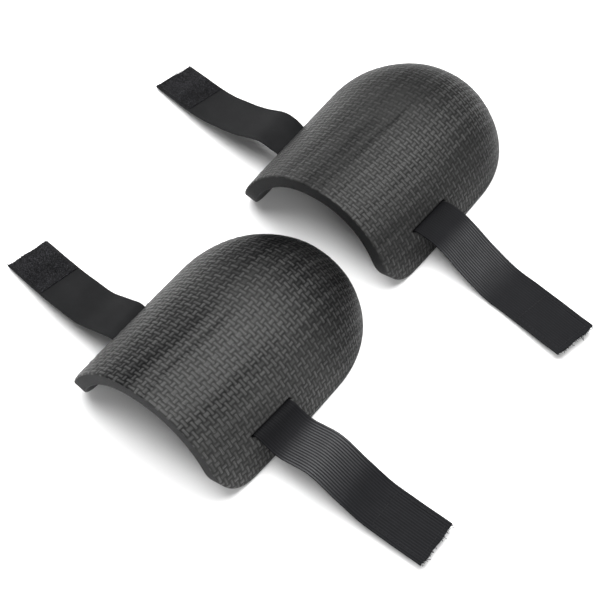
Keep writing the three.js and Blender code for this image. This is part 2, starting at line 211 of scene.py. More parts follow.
def skin_normal(s, v, square_cut=True):
    """Outward normal. Square cut: it has no lengthwise part on the walls, so the open end is flat."""
    step = 0.0004
    across = skin(s + step, v) - skin(s - step, v)
    along = skin(s, v + step) - skin(s, v - step)
    normal = unit(np.cross(across, along))
    if square_cut:
        wall = np.asarray(v) <= DOME_START
        normal[..., 1] = np.where(wall, 0, normal[..., 1])
        normal = unit(normal)
    return normal


# ---- meshes


def add_object(name, points, faces, materials, attributes=(), face_materials=None):
    mesh = bpy.data.meshes.new(name)
    mesh.from_pydata([tuple(p) for p in np.asarray(points, float)], [], faces)
    for material in materials:
        mesh.materials.append(material)
    for key, values in attributes:
        layer = mesh.attributes.new(key, "FLOAT_VECTOR", "POINT")
        flat = np.zeros((len(points), 3), np.float32)
        flat[:, : values.shape[1]] = values
        layer.data.foreach_set("vector", flat.ravel())
    if face_materials is not None:
        mesh.polygons.foreach_set("material_index", face_materials)
    mesh.polygons.foreach_set("use_smooth", [True] * len(faces))
    mesh.update()
    thing = bpy.data.objects.new(name, mesh)
    bpy.context.scene.collection.objects.link(thing)
    return thing


def merged(points, faces, tags):
    """Joins points that coincide, and drops the corners and faces that vanish with them."""
    keys = np.round(np.asarray(points) / 2e-7).astype(np.int64)
    _, first, back = np.unique(keys, axis=0, return_index=True, return_inverse=True)
    back = back.ravel()
    kept_faces, kept_tags = [], []
    for face, tag in zip(faces, tags):
        corners = [int(back[i]) for i in face]
        corners = [c for i, c in enumerate(corners) if c != corners[i - 1]]
        if len(corners) >= 3:
            kept_faces.append(corners)
            kept_tags.append(tag)
    return first, kept_faces, kept_tags


def with_marks(length, step, marks):
    """Even steps along a length, moved aside where a mark is near, and the marks."""
    even = np.arange(0, length + step / 2, step)
    marks = np.array(sorted(set(np.round(marks, 7))))
    near = np.abs(even[:, None] - marks[None]).min(1) < step * 0.45
    values = np.unique(np.round(np.concatenate([even[~near], marks]), 7))
    return values[(values >= 0) & (values <= length + 1e-9)]


def thinned(values, marks, step):
    """Indices of a coarser set of values that keeps the marks and both ends."""
    keep = {0, len(values) - 1} | {int(np.abs(values - mark).argmin()) for mark in marks}
    last = 0
    for i in range(len(values)):
        if i in keep:
            last = i
        elif values[i] - values[last] >= step:
            following = [k for k in keep if k > i]
            if values[min(following)] - values[i] > step * 0.5:
                keep.add(i)
                last = i
    return sorted(keep)


# ---- the foam pad

OUTER_ROUND, INNER_ROUND = 0.0011, 0.0007
ROUND_STEPS = [0, 0.04, 0.15, 0.4, 1.0]
LIP_SAG = 0.0027  # the upper lip has settled towards the strap
SLOT_ARCS = [SLOT_ARC - SLOT_GAP / 2 + LIP_SAG, SLOT_ARC + SLOT_GAP / 2]
SLOT_ENDS = [SLOT_FROM_END - SLOT_LENGTH / 2, SLOT_FROM_END + SLOT_LENGTH / 2]


def edge_distance(s, v):
    """Distance on the flat sheet to its nearest edge or slot."""
    arc = np.where(v > DOME_START, np.hypot(s, v - DOME_START), np.abs(s))
    rim = RIM_ARC - arc
    end = np.where(v > DOME_START, 1, v)
    corner_s, corner_v = arc - (RIM_ARC - CORNER_RADIUS), CORNER_RADIUS - v
    corner = CORNER_RADIUS - np.hypot(corner_s, corner_v)
    to_edge = np.where((corner_s > 0) & (corner_v > 0), corner, np.minimum(rim, end))
    slot_s = np.maximum(SLOT_ARCS[0] - np.abs(s), np.abs(s) - SLOT_ARCS[1])
    slot_v = np.maximum(SLOT_ENDS[0] - v, v - SLOT_ENDS[1])
    to_slot = np.hypot(np.maximum(slot_s, 0), np.maximum(slot_v, 0))
    return np.maximum(np.minimum(to_edge, to_slot), 0)


def rounding(distance, radius):
    """How deep a rounded edge lies below the skin, at a distance from the edge."""
    left = radius - np.minimum(distance, radius)
    return radius - np.sqrt(radius**2 - left**2)


CREASES = {
    # across and reach in millimetres, width and depth of a lengthwise line pressed in the foam
    "front": [(2.6, 125, 1.3, 0.75), (-3.2, 110, 1.2, -0.25), (18.5, 95, 0.9, 0.35), (-14, 120, 7, 0.45),
              (-35, 130, 6, 0.35), (-45, 150, 2.0, 0.30), (-52, 140, 1.6, 0.25), (-20.5, 80, 0.9, -0.20),
              (44, 120, 8, 0.30)],
    "rear": [(3.2, 160, 1.1, 0.60), (17, 115, 0.9, 0.30), (-9, 120, 6, 0.35), (-33, 130, 5, 0.30),
             (-45, 150, 1.8, -0.30), (-29, 140, 1.0, -0.20), (37, 125, 1.0, -0.16), (54, 120, 1.4, -0.22)],
}


def pressed(s_mm, v_mm, label):
    """Depth of each pressed line at a place, in millimetres."""
    for place, reach, width, depth in CREASES[label]:
        drift = place + 1.1 * np.sin(v_mm / 29 + place) + 0.5 * np.sin(v_mm / 11 + place * 3)
        fade = 1 - rise(v_mm, reach * 0.6, reach)
        yield depth * fade * np.exp(-(((s_mm - drift) / width) ** 2))


def unevenness(s, v, label):
    """Slow waves and pressed lines of the moulded sheet, in metres outwards."""
    s_mm, v_mm = s / MM, v / MM
    phase = 0.0 if label == "front" else 2.1
    height = 0.16 * np.sin(s_mm / 15 + phase) * np.sin(v_mm / 46 + 1 + phase)
    height = height + 0.10 * np.sin(s_mm / 8.3 + v_mm / 71 + phase)
    for depth in pressed(s_mm, v_mm, label):
        height = height - depth
    return height * MM


def relief_strength(s, v, label):
    """How strongly the weave is embossed at a place: the moulding softened it towards the dome and sides."""
    across = [-100, -60, -30, 0, 20, 38, 52, 66, 100]
    share = {"front": [0.95, 1.00, 0.72, 0.90, 1.22, 1.20, 0.95, 0.75, 0.68],
             "rear": [0.62, 0.64, 0.36, 0.42, 0.88, 1.25, 0.92, 0.52, 0.5]}
    on_dome = rise(v / MM, 85, 150)
    return np.interp(s / MM, across, share[label]) * (1 - 0.34 * on_dome)


def painted_light_of(s, v, label):
    """How light the skin is painted, around 1: painted highlights and painted shade in bands across the pad,
    painted shade in the pressed lines and over the dome's far end.
    """
    s_mm, v_mm = s / MM, v / MM
    near_end = 1 - rise(v_mm, 20, 150)
    if label == "front":
        # painted highlight beside the crest at +22 mm and on the shoulder at -66 mm, painted shade at -24 mm
        broad = 0.16 * np.exp(-(((s_mm - 22) / 15) ** 2)) * (0.6 + 0.6 * near_end)
        broad = broad - 0.22 * np.exp(-(((s_mm + 24) / 15) ** 2)) * (0.6 + 0.6 * near_end)
        broad = broad + 0.18 * np.exp(-(((s_mm + 66) / 16) ** 2))
    else:
        # painted highlight beside the crest at +22 mm and at -58 mm, painted shade towards the +X wall
        broad = 0.10 * np.exp(-(((s_mm - 22) / 16) ** 2)) * (0.3 + near_end)
        broad = broad + 0.12 * np.exp(-(((s_mm + 58) / 20) ** 2)) - 0.10 * rise(s_mm, 40, 75)
    # painted shade in the pressed lines, and painted light on the raised ones
    for depth in pressed(s_mm, v_mm, label):
        broad = broad - 0.5 * depth
    # painted shade over the dome's far end, where it faces away from the lights
    painted_dome_shade = 0.34 if label == "front" else 0.18
    return (1 + broad) * (1 - painted_dome_shade * rise(v_mm, 110, 175))


def weave_place(s, v):
    """Where a place on the pad lies on the sheet's weave, in millimetres. It was drawn a little askew."""
    s_mm, v_mm = s / MM, v / MM
    askew = 0.0008 * v_mm * (np.sqrt(s_mm**2 + 400) - 20)
    wobble_s = 0.35 * np.sin(v_mm / 23 + s_mm / 31) + 0.2 * np.sin(v_mm / 7.7 + s_mm / 5)
    wobble_v = 0.30 * np.sin(s_mm / 19 + v_mm / 37) + 0.15 * np.sin(s_mm / 6.1 - v_mm / 9)
    return s_mm + wobble_s + 270, v_mm + askew + wobble_v


def pad_grid():
    """Flat places of the outer skin's points, row by row from the crest to the rim."""
    rounds = np.array(ROUND_STEPS) * OUTER_ROUND
    row_marks = [RIM_ARC - e for e in rounds]
    row_marks += [SLOT_ARCS[0] - e for e in rounds] + [SLOT_ARCS[1] + e for e in rounds]
    arcs = with_marks(RIM_ARC, WARP_PITCH_MM * MM / STEPS_A_CELL, row_marks)
    column_marks = [*rounds, DOME_START]
    column_marks += [SLOT_ENDS[0] - e for e in rounds] + [SLOT_ENDS[1] + e for e in rounds]
    lengths = with_marks(DOME_START, WEFT_PITCH_MM * MM / STEPS_A_CELL, column_marks)
    bearings = np.linspace(0, math.pi, 231)[1:-1]
    return arcs, lengths, bearings


def setback(arc):
    """How far the rounded corner keeps a row from the open end."""
    over = np.clip((arc - (RIM_ARC - CORNER_RADIUS)) / CORNER_RADIUS, 0, 1)
    return CORNER_RADIUS * (1 - np.sqrt(1 - over**2))


def flat_rows(arcs, lengths, bearings):
    back = setback(arcs)[:, None]
    wall_v = back + (DOME_START - back) * (lengths / DOME_START)[None]
    arc = arcs[:, None]
    s = np.hstack([arc + 0 * wall_v, arc * np.cos(bearings), (-arc + 0 * wall_v)[:, ::-1]])
    v = np.hstack([wall_v, DOME_START + arc * np.sin(bearings), wall_v[:, ::-1]])
    return s, v


def inner_arcs(arc, s, v):
    """Rows of the inner skin end where it meets the floor, a little before the outer skin's rim."""
    direction_s, direction_v = s / np.maximum(arc, 1e-9), (v - DOME_START) / np.maximum(arc, 1e-9)
    on_dome = v > DOME_START

    def at(a):
        across = np.where(on_dome, direction_s * a, np.sign(s) * a)
        return across, np.where(on_dome, DOME_START + direction_v * a, v)

    low, high = np.full_like(s, RIM_ARC - 0.012), np.full_like(s, RIM_ARC)
    for _ in range(24):
        middle = (low + high) / 2
        a, b = at(middle)
        above = skin(a, b)[..., 2] - FOAM * skin_normal(a, b)[..., 2] > 0
        low, high = np.where(above, middle, low), np.where(above, high, middle)
    start = RIM_ARC - 0.020
    squeezed = start + (arc - start) * (low - start) / (RIM_ARC - start)
    return at(np.where(arc > start, squeezed, arc))


def foam_pad(label, place, materials):
    arcs, lengths, bearings = pad_grid()
    s, v = flat_rows(arcs, lengths, bearings)
    rows, columns = s.shape
    edge = edge_distance(s, v)
    weave = np.stack(weave_place(s, v), -1)
    on_end = rise(v, DOME_START + 0.03, DOME_START + 0.1)
    strength = relief_strength(s, v, label) * (1 - 0.35 * on_end)
    emboss = EMBOSS * woven(weave[..., 0], weave[..., 1]) * rise(edge, 0.0, 0.003) * strength
    # look carries the weave's strength and the skin's painted light and shade to the shader
    look = np.stack([strength, painted_light_of(s, v, label)], -1).reshape(-1, 2)
    lift = emboss + unevenness(s, v, label) * rise(edge, 0.0, 0.006) - rounding(edge, OUTER_ROUND)
    outer = skin(s, v) + skin_normal(s, v) * lift[..., None]
    outer[..., 2] = np.maximum(outer[..., 2], 0)

    # the inner skin keeps only some of the rows and columns
    column_of = np.concatenate([lengths, DOME_START + bearings * 0.09, DOME_START * 2 + 0.3 - lengths[::-1]])
    rounds = np.array([0, 0.15, 1.0]) * INNER_ROUND
    row_keep = thinned(arcs, SLOT_ARCS + [RIM_ARC - e for e in rounds], 0.003)
    marks = [DOME_START, *SLOT_ENDS, *rounds]
    half = thinned(column_of[: columns // 2 + 1], marks, 0.004)
    column_keep = sorted({*half, *(columns - 1 - j for j in half)})
    grid = np.ix_(row_keep, column_keep)
    inner_s, inner_v = inner_arcs(arcs[row_keep][:, None] + 0 * s[grid], s[grid], v[grid])
    inner_edge = edge_distance(s[grid], v[grid])
    wrinkle = 0.00025 * np.sin(inner_s / 0.011) * np.sin(inner_v / 0.017)
    depth = FOAM - rounding(inner_edge, INNER_ROUND) + wrinkle * rise(inner_edge, 0.0, 0.01)
    inner = skin(inner_s, inner_v) - skin_normal(inner_s, inner_v) * depth[..., None]
    inner[..., 2] = np.maximum(inner[..., 2], 0)
    inner[-1, :, 2] = 0

    points = np.concatenate([outer.reshape(-1, 3), inner.reshape(-1, 3)])
    faces, tags = [], []
    deep = {(i, j): rows * columns + a * len(column_keep) + b
            for a, i in enumerate(row_keep) for b, j in enumerate(column_keep)}

    def in_slot(i, j, k, m):
        arc_mid, length_mid = (arcs[i] + arcs[k]) / 2, (v[i, j] + v[i, m]) / 2
        on_wall = m < len(lengths) or j >= columns - len(lengths)
        inside = SLOT_ARCS[0] < arc_mid < SLOT_ARCS[1] and SLOT_ENDS[0] < length_mid < SLOT_ENDS[1]
        return on_wall and inside

    for i in range(rows - 1):
        for j in range(columns - 1):
            if not in_slot(i, j, i + 1, j + 1):
                a = i * columns + j
                faces.append([a, a + columns, a + columns + 1, a + 1])
                tags.append(0)
    for i, k in zip(row_keep, row_keep[1:]):
        for j, m in zip(column_keep, column_keep[1:]):
            if not in_slot(i, j, k, m):
                faces.append([deep[i, j], deep[i, m], deep[k, m], deep[k, j]])
                tags.append(2)

    def wall(line):
        """A cut face between the two skins, along a line of places that the inner skin keeps."""
        for here, there in zip(line, line[1:]):
            (i, j), (k, m) = here, there
            steps = max(abs(k - i), abs(m - j))
            fine = [(i + (k - i) * n // steps) * columns + j + (m - j) * n // steps for n in range(steps + 1)]
            faces.append(fine[::-1] + [deep[here], deep[there]])
            tags.append(1)

    last = columns - 1
    wall([(i, 0) for i in row_keep])
    wall([(i, last) for i in reversed(row_keep)])
    wall([(rows - 1, j) for j in column_keep])
    top, bottom = (int(np.abs(arcs - a).argmin()) for a in SLOT_ARCS)
    for mirror in (False, True):
        ends = [int(np.abs(lengths - e).argmin()) for e in SLOT_ENDS]
        near, far = ([last - e for e in reversed(ends)] if mirror else ends)
        slot_rows = [i for i in row_keep if top <= i <= bottom]
        slot_columns = [j for j in column_keep if near <= j <= far]
        wall([(top, j) for j in slot_columns])
        wall([(i, far) for i in slot_rows])
        wall([(bottom, j) for j in reversed(slot_columns)])
        wall([(i, near) for i in reversed(slot_rows)])

    first, faces, tags = merged(points, faces, tags)
    inner_places = np.stack([inner_s, inner_v], -1).reshape(-1, 2) / MM
    places = np.concatenate([weave.reshape(-1, 2), inner_places])[first]
    look = np.concatenate([look, np.ones_like(inner_places)])[first]
    piece = add_object(f"{label}_foam", place(points[first]), faces, materials,
                       [("weave", places), ("look", look)], tags)
    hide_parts(f"{label}_foam_pad")
    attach(piece, f"{label}_pad")


# ---- the straps' lines


def smooth_line(points, samples=24):
    """A centripetal Catmull-Rom line through the points, as many closely spaced points."""
    p = np.asarray(points, float)
    p = np.vstack([2 * p[0] - p[1], p, 2 * p[-1] - p[-2]])
    line = []
    for a, b, c, d in zip(p, p[1:], p[2:], p[3:]):
        ab, bc, cd = (max(np.linalg.norm(n - m), 1e-6) ** 0.5 for m, n in ((a, b), (b, c), (c, d)))
        leave = ((b - a) / ab - (c - a) / (ab + bc) + (c - b) / bc) * bc
        arrive = ((c - b) / bc - (d - b) / (bc + cd) + (d - c) / cd) * bc
        t = np.linspace(0, 1, samples, endpoint=False)[:, None]
        line.append(b + leave * t + (3 * (c - b) - 2 * leave - arrive) * t**2
                    + (2 * (b - c) + leave + arrive) * t**3)
    line.append(p[-2][None])
    return np.concatenate(line)


def lengths_along(points):
    return np.concatenate([[0], np.cumsum(np.linalg.norm(np.diff(points, axis=0), axis=1))])


def sampled(values, along, at):
    """Rows of values known at places along a line, at other places along it."""
    return np.stack([np.interp(at, along, values[:, k]) for k in range(3)], -1)


def resampled(points, distances):
    return sampled(points, lengths_along(points), distances)


LIP = SLOT_GAP / 2 - CLEARANCE - STRAP_THICKNESS / 2
UNDER_FOAM = 2 * CLEARANCE + STRAP_THICKNESS / 2
OUTSIDE = FOAM + TAIL_STANDOFF - HINGE_GAP / 2


def slot_frame(side):
    s, v = side * SLOT_ARC, SLOT_FROM_END
    along = unit(skin(s, v + MM) - skin(s, v - MM))
    out = skin_normal(s, v, square_cut=False)
    down = np.cross(out, along) * -side
    return skin(s, v), out, down, along


def through_slot(side, aside):
    """The strap's line from just above its slot inside the pad to just outside the wall."""
    at, out, down, along = slot_frame(side)

    def place(outward, downward):
        return at + out * (outward - FOAM) + down * downward + along * aside

    points = [place(-UNDER_FOAM, -0.006)]
    for turn in np.radians([0, 30, 60, 90]):
        outward = -UNDER_FOAM + SLOT_BEND * (1 - math.cos(turn))
        points.append(place(outward, LIP - SLOT_BEND * (1 - math.sin(turn))))
    return points + [place(FOAM / 2, LIP), place(OUTSIDE, LIP)]


def under_wall(side, up, deep, aside):
    """A place under the foam: up the wall from a slot, deep from the foam, aside towards the dome."""
    s, v = side * (SLOT_ARC - up), SLOT_FROM_END + aside
    return skin(s, v) - skin_normal(s, v) * (FOAM + deep)


def inside_points(strap, side, aside):
    points = through_slot(side, aside)[::-1]
    if strap == "elastic":
        for up in np.linspace(0.016, 2 * SLOT_ARC - LAP_START, 10):
            points.append(under_wall(side, up, UNDER_FOAM, aside))
        return points
    points.append(under_wall(side, 0.009, UNDER_FOAM + 0.0006, aside))
    for up in LAP_START + LAP_LENGTH * np.linspace(0, 1, 5):
        points.append(under_wall(side, up, UNDER_FOAM + STRAP_THICKNESS + 2 * CLEARANCE, aside))
    return points


class Strap:
    """A strap's mid line and the direction across it, from its inner end to its cut end.

    Distances are counted from the bend at the slot: negative inside the pad, positive outside.
    """

    def __init__(self, label, strap):
        self.label, self.strap = label, strap
        self.side = 1 if strap == "elastic" else -1
        self.width = ELASTIC_WIDTH if strap == "elastic" else TAPE_WIDTH
        inside, inside_across = self.inside_line()
        outside, outside_across = self.outside_line()
        self.inside_length = lengths_along(inside)[-1] + HINGE_GAP / 2
        tail = lengths_along(outside)
        self.length = tail[-1]
        clear = tail > HINGE_GAP / 2 + 0.002
        points = np.vstack([inside[::-1], outside[clear]])
        across = np.vstack([inside_across[::-1], outside_across[clear]])
        even = np.arange(0, lengths_along(points)[-1], 0.0005)
        along = lengths_along(points)
        self.points = sampled(points, along, even)
        self.across = unit(sampled(across, along, even))
        self.distance = even - self.inside_length
        self.fold, self.end_bend = (self.length - END_LINK) / 2, self.length - END_LINK
        self.ease(0, 0.004, 30)
        self.ease(self.end_bend, 0.012, 260)

    def inside_line(self):
        middle = smooth_line(inside_points(self.strap, self.side, 0))
        shares = np.linspace(0, 1, 400)
        total = lengths_along(middle)[-1]
        middle = resampled(middle, shares * total)
        edges = []
        for aside in (-self.width / 2, self.width / 2):
            edge = smooth_line(inside_points(self.strap, self.side, aside))
            edges.append(resampled(edge, shares * lengths_along(edge)[-1]))
        return middle, unit(edges[1] - edges[0])

    def outside_line(self):
        swing, profile = TAILS[self.label, self.strap]
        swing = math.radians(swing)
        at, out, down, _ = slot_frame(self.side)
        root = at + out * TAIL_STANDOFF + down * LIP
        reach = profile[-1][0]
        points = []
        for distance, height in profile:
            bend = swing * distance / reach / 2
            point = root + np.array([self.side * math.cos(bend), math.sin(bend), 0]) * distance * MM
            if distance:
                point[2] = height * MM
            points.append(point)
        line = smooth_line(points)
        along = lengths_along(line)
        even = np.arange(0, along[-1], 0.0005)
        line = resampled(line, even)
        last = even > along[-1] - END_LINK
        share = ((even - even[last][0]) / (even[-1] - even[last][0]))[last, None]
        line[last] = line[last][0] * (1 - share) + line[-1] * share
        turn = swing * lengths_along(line) / lengths_along(line)[-1]
        across = np.stack([-self.side * np.sin(turn), np.cos(turn), 0 * turn], -1)
        return line, across

    def ease(self, at, reach, times):
        """Rounds off a corner of the line within a reach of a distance."""
        near = np.exp(-(((self.distance - at) / reach) ** 2))[:, None]
        for _ in range(times):
            for values in (self.points, self.across):
                middle = (values[:-2] + values[2:]) / 2
                values[1:-1] += (middle - values[1:-1]) * near[1:-1] * 0.8
        self.across = unit(self.across)

    def stations(self, distances):
        at, ahead, behind = (sampled(self.points, self.distance, distances + step) for step in (0, MM, -MM))
        across = unit(sampled(self.across, self.distance, distances))
        forward = unit(ahead - behind)
        across = unit(across - forward * (across * forward).sum(1, keepdims=True))
        up = np.cross(forward, across) * self.side
        return at, forward, across, up


# ---- strap meshes

RIBS = 19
RIB_DEPTHS = {"front": 0.00040, "rear": 0.00026}
HALF_THICK = STRAP_THICKNESS / 2
THREAD_RADIUS = 0.00028
PATCH_BACKING = 0.0010
# heights over a strap's mid line, and how far below it the hooks start
BACKING_AT = {"hook": -0.0014, "loop": 0.0012}
HOOKS_FROM, PILE_FROM, PILE_SEAM_AT, PILE_LOOPS = 0.0018, 0.0017, 0.0019, 3400
LAP_HALF_WIDTH, LAP_HALF_LENGTH = 0.012, 0.0155


def elastic_section(rib_depth):
    """Across places and upper heights of the ribbed elastic."""
    pitch = ELASTIC_WIDTH / RIBS
    local = np.array([-1, -0.82, -0.45, 0, 0.45, 0.82])
    middles = [-ELASTIC_WIDTH / 2 + pitch * (i + 0.5) for i in range(RIBS)]
    across = np.concatenate([middle + local * pitch / 2 for middle in middles])
    across = np.append(across, ELASTIC_WIDTH / 2)
    rib = np.append(np.tile(round_top(local * 0.98), RIBS), 0.2)
    size = 1 + 0.22 * np.sin(np.floor(np.arange(len(across)) / len(local)) * 2.4)
    height = HALF_THICK - rib_depth * (1 - rib) * size
    return across, height * edge_round(across, ELASTIC_WIDTH / 2)


def tape_section():
    """Across places and upper heights of the smooth tape, a little thicker along its edges."""
    half = TAPE_WIDTH / 2
    across = half * np.sin(np.linspace(-math.pi / 2, math.pi / 2, 45))
    selvage = np.exp(-(((half - np.abs(across) - 0.0016) / 0.0007) ** 2))
    height = HALF_THICK - 0.00022 + 0.00016 * selvage
    return across, height * edge_round(across, half)


def edge_round(across, half):
    over = np.clip((np.abs(across) - (half - 0.0008)) / 0.0008, 0, 1)
    return np.sqrt(np.maximum(1 - over**2, 0))


def wave(along, seed):
    """A slight waviness of the strap's surface along its length."""
    return 0.00013 * np.sin(along / 0.0113 + seed) + 0.00009 * np.sin(along / 0.0047 + seed * 2.3)


def band(name, strap, start, stop, material, rise_by=0.0, section=None, ragged=0.0, step=0.001):
    """A length of strap between two distances, closed at both ends."""
    own_section = tape_section() if strap.strap == "tape" else elastic_section(RIB_DEPTHS[strap.label])
    across_mm, upper = section or own_section
    place_w = np.concatenate([across_mm, across_mm[-2:0:-1]])
    place_h = np.concatenate([upper, -upper[-2:0:-1]])
    count = max(3, round((stop - start) / step) + 1)
    along = np.linspace(start, stop, count)
    at, forward, across, up = strap.stations(along)
    seed = len(strap.label) + len(strap.strap)
    lift = (wave(along, seed) + rise_by)[:, None] + place_h[None]
    pull = ragged * rise(along, stop - 0.003, stop)[:, None]
    jag = np.sin(place_w / 0.00041 + seed) * 0.5 + np.sin(place_w / 0.0029 + seed) * 0.5
    points = at[:, None] + across[:, None] * place_w[None, :, None] + up[:, None] * lift[..., None]
    points = points + forward[:, None] * (pull * jag[None])[..., None]
    n = len(place_w)
    faces = grid_faces(count, n, closed=True)
    # the two ends are closed by faces with points of their own, so that shading doesn't turn round the rim
    faces += [list(range(count * n, (count + 1) * n))[::-1], list(range((count + 1) * n, (count + 2) * n))]
    if strap.side > 0:
        faces = [face[::-1] for face in faces]
    weave = np.stack([np.broadcast_to(place_w, lift.shape), np.broadcast_to(along[:, None], lift.shape)], -1)
    points, weave = (np.concatenate([value, value[[0, -1]]]) for value in (points, weave))
    piece = add_object(name, strap.place(points.reshape(-1, 3)), faces, [material],
                       [("weave", weave.reshape(-1, 2) / MM)])
    for cap in (-1, -2):
        piece.data.polygons[len(faces) + cap].use_smooth = False
    return piece


def grid_faces(rows, columns, closed):
    row = np.arange(rows - 1)[:, None] * columns
    column = np.arange(columns if closed else columns - 1)[None]
    following = (column + 1) % columns
    corners = [row + column, row + following, row + columns + following, row + columns + column]
    return np.stack(corners, -1).reshape(-1, 4).tolist()


def tubes(lines, radii, sides):
    """Thin round threads along many lines, pointed a little at both ends, as points, faces and places."""
    points, faces, places = [], [], []
    for line, radius in zip(lines, radii):
        line = np.asarray(line)
        count = len(line)
        forward = unit(np.gradient(line, axis=0))
        aside = unit(np.cross(forward, forward[0] + np.array([0.31, 0.57, 0.76])))
        above = np.cross(forward, aside)
        start = len(points)
        run = lengths_along(line)
        for k in range(count):
            thick = radius * (0.55 if k in (0, count - 1) else 1)
            for turn in np.arange(sides) * 2 * math.pi / sides:
                points.append(line[k] + (aside[k] * math.cos(turn) + above[k] * math.sin(turn)) * thick)
                places.append([turn, run[k] / MM])
        faces += (np.array(grid_faces(count, sides, closed=True)) + start).tolist()
        faces.append(list(range(start, start + sides))[::-1])
        faces.append(list(range(start + (count - 1) * sides, start + count * sides)))
    return np.array(points), faces, np.array(places)


def thread_piece(name, place, lines, radii, material, sides=5):
    points, faces, places = tubes(lines, radii, sides)
    return add_object(name, place(points), faces, [material], [("weave", places)])


def on_strap(strap, across, along, height):
    """Points on a strap from arrays of across, along and height places."""
    at, _, across_way, up = strap.stations(np.atleast_1d(along))
    return at + across_way * np.atleast_1d(across)[:, None] + up * np.atleast_1d(height)[:, None]


def seam_lines(strap, corners, height, stitch=0.0026, gap=0.0009, bow=0.00042):
    """Stitches one after another along a closed outline of (across, along) corners on a strap."""
    lines = []
    for a, b in zip(corners, corners[1:] + corners[:1]):
        a, b = np.array(a), np.array(b)
        count = max(1, round(np.linalg.norm(b - a) / (stitch + gap)))
        for k in range(count):
            t = (k + np.linspace(0.12, 0.88, 7)) / count
            arch = np.sin(np.linspace(0, math.pi, 7))
            way = a + (b - a) * t[:, None]
            lines.append(on_strap(strap, way[:, 0], way[:, 1], height + bow * (arch - 0.75)))
    return lines


def outline(half_width, start, stop):
    return [(-half_width, start), (half_width, start), (half_width, stop), (-half_width, stop)]


def loose_ends(strap, rng):
    """Threads that stick out of a strap's cut end."""
    lines, radii = [], []
    tip, forward, across, up = (value[0] for value in strap.stations(np.array([strap.length - 0.0004])))
    count = 34 if strap.strap == "elastic" else 16
    for _ in range(count):
        start = tip + across * rng.uniform(-0.49, 0.49) * strap.width + up * rng.uniform(-0.0006, 0.0006)
        way = unit(forward + across * rng.normal(0, 0.35) + up * rng.normal(0, 0.25))
        curl = across * rng.normal(0, 0.5) + up * rng.normal(0, 0.4)
        length = rng.uniform(0.0009, 0.0022) * (2.2 if rng.random() < 0.15 else 1)
        t = np.linspace(0, 1, 5)[:, None]
        line = start + way * length * t + curl * length * t**2 * 0.6
        line[:, 2] = np.maximum(line[:, 2], 0.0003)
        lines.append(line)
        radii.append(rng.uniform(0.00016, 0.00028))
    return lines, radii


def pile_lines(strap, start, stop, top, rng, count):
    """Small loops of yarn that stand on a patch."""
    lines, radii = [], []
    across = rng.uniform(-0.5, 0.5, count) * (PATCH_WIDTH - 0.0006)
    along = rng.uniform(start + 0.0003, stop - 0.0003, count)
    at, forward, across_way, up = strap.stations(along)
    sides = np.clip((np.abs(across) - (PATCH_WIDTH / 2 - 0.0015)) / 0.0015, 0, 1)
    roots = at + across_way * across[:, None] + up * (top - 0.0002 - 0.0006 * sides**2)[:, None]
    bend = np.sin(np.linspace(0, math.pi, 5))
    for k in range(count):
        bearing, span = rng.uniform(0, 2 * math.pi), rng.uniform(0.0004, 0.0011)
        way = across_way[k] * math.cos(bearing) + forward[k] * math.sin(bearing)
        lean = unit(up[k] + way * rng.normal(0, 0.5) + forward[k] * rng.normal(0, 0.4))
        height = rng.uniform(0.0004, 0.0010)
        t = np.linspace(-0.5, 0.5, 5)[:, None]
        lines.append(roots[k] + way * span * t + lean * height * bend[:, None])
        radii.append(rng.uniform(0.00007, 0.00013))
    return lines, radii


def hook_lines(strap, start, stop, bottom):
    """Rows of small hooks that stand on the underside of a patch."""
    lines, radii = [], []
    across = np.arange(-PATCH_WIDTH / 2 + 0.0024, PATCH_WIDTH / 2 - 0.0023, 0.0015)
    along = np.arange(start + 0.0024, stop - 0.0023, 0.0014)
    for row, w in enumerate(across):
        at, forward, across_way, up = strap.stations(along)
        root = at + across_way * w - up * bottom
        turn = 1 if row % 2 else -1
        for k in range(len(along)):
            way = forward[k] * turn
            shape = [(0, -0.0002), (0, 0.0006), (0.00014, 0.00096), (0.0004, 0.00105), (0.00056, 0.0008)]
            lines.append([root[k] + way * a - up[k] * b for a, b in shape])
            radii.append(0.00011)
    return lines, radii


def patch_section(thickness):
    half = PATCH_WIDTH / 2
    across = half * np.sin(np.linspace(-math.pi / 2, math.pi / 2, 31))
    return across, thickness / 2 * edge_round(across, half)


# ---- materials


def new_material(name):
    material = bpy.data.materials.new(name)
    material.use_nodes = True
    tree = material.node_tree
    place = tree.nodes.new("ShaderNodeTexCoord").outputs["Object"]
    return material, tree, tree.nodes["Principled BSDF"], place


def noise(tree, vector, scale, detail=4.0, rough=0.6):
    node = tree.nodes.new("ShaderNodeTexNoise")
    node.inputs["Scale"].default_value = scale
    node.inputs["Detail"].default_value = detail
    node.inputs["Roughness"].default_value = rough
    tree.links.new(vector, node.inputs["Vector"])
    return Term(tree, node.outputs["Fac"])


def flat_place(tree, name="weave"):
    """Across and along places of the sheet or strap, in millimetres, from the mesh."""
    attribute = tree.nodes.new("ShaderNodeAttribute")
    attribute.attribute_name = name
    parts = tree.nodes.new("ShaderNodeSeparateXYZ")
    tree.links.new(attribute.outputs["Vector"], parts.inputs[0])
    return Term(tree, parts.outputs[0]), Term(tree, parts.outputs[1]), attribute.outputs["Vector"]


def mix_color(tree, share, low, high):
    node = tree.nodes.new("ShaderNodeMix")
    node.data_type = "RGBA"
    for socket, value in ((node.inputs[6], low), (node.inputs[7], high)):
        if isinstance(value, tuple):
            socket.default_value = (*value, 1)
        else:
            tree.links.new(value, socket)
    tree.links.new(share.socket, node.inputs[0])
    return node.outputs[2]


def bump(tree, height, distance, normal=None):
    """A bump of a height from 0 to 1 that is worth a distance in metres."""
    node = tree.nodes.new("ShaderNodeBump")
    node.inputs["Strength"].default_value = 1.0
    node.inputs["Distance"].default_value = distance
    tree.links.new(height.socket, node.inputs["Height"])
    if normal is not None:
        tree.links.new(normal, node.inputs["Normal"])
    return node.outputs["Normal"]


